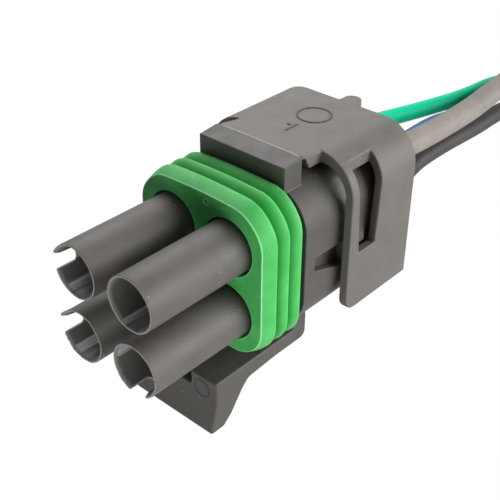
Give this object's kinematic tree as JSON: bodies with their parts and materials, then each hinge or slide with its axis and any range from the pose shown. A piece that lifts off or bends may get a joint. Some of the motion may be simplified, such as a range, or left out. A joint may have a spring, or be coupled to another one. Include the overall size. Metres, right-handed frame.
{
  "type": "sealed automotive connector half",
  "caption": "Square tower half of a sealed automotive connector: tubes, ribbed seal, hinged cover, sprung lock arm and a pigtail of insulated leads.",
  "frame": {"origin": "under the middle of the connector without its leads, on the surface that the lock arm's lip and the leads lie on", "axes": "-Y towards the mating half, +Y along the leads, +Z towards the cover's roof, X across"},
  "size_m": [0.0212, 0.1844, 0.0297],
  "materials": {
    "black_plastic": "fine matt moulded nylon",
    "green_silicone": "smooth moulded silicone",
    "gray_silicone": "smooth moulded silicone",
    "tinned_brass": "tin plate over brass",
    "green_insulation": "satin extruded insulation",
    "gray_insulation": "satin extruded insulation",
    "blue_insulation": "satin extruded insulation",
    "black_insulation": "satin extruded insulation",
    "copper": "bare stranded copper"
  },
  "bodies": {
    "connector": {"housing": "black_plastic", "front_seal": "green_silicone", "terminal_green": "tinned_brass", "terminal_gray": "tinned_brass", "terminal_blue": "tinned_brass", "terminal_black": "tinned_brass", "cable_seal_green": "green_silicone", "cable_seal_gray": "gray_silicone", "cable_seal_blue": "green_silicone", "cable_seal_black": "green_silicone", "lead_green": "green_insulation", "lead_gray": "gray_insulation", "lead_blue": "blue_insulation", "lead_black": "black_insulation", "conductor_green": "copper", "conductor_gray": "copper", "conductor_blue": "copper", "conductor_black": "copper"},
    "cover": {"secondary_lock": "black_plastic"},
    "arm": {"lock_arm": "black_plastic"}
  },
  "joints": [
    {"name": "cover_hinge", "type": "hinge", "parent": "connector", "child": "cover", "pos_m": [0, 0.00275, 0.02965], "axis": [1, 0, 0], "range_deg": [0, 95]},
    {"name": "arm_flex", "type": "hinge", "parent": "connector", "child": "arm", "pos_m": [0, 0.00345, 0.008], "axis": [1, 0, 0], "range_deg": [0, 7], "stiffness_Nm_per_rad": 0.25}
  ]
}
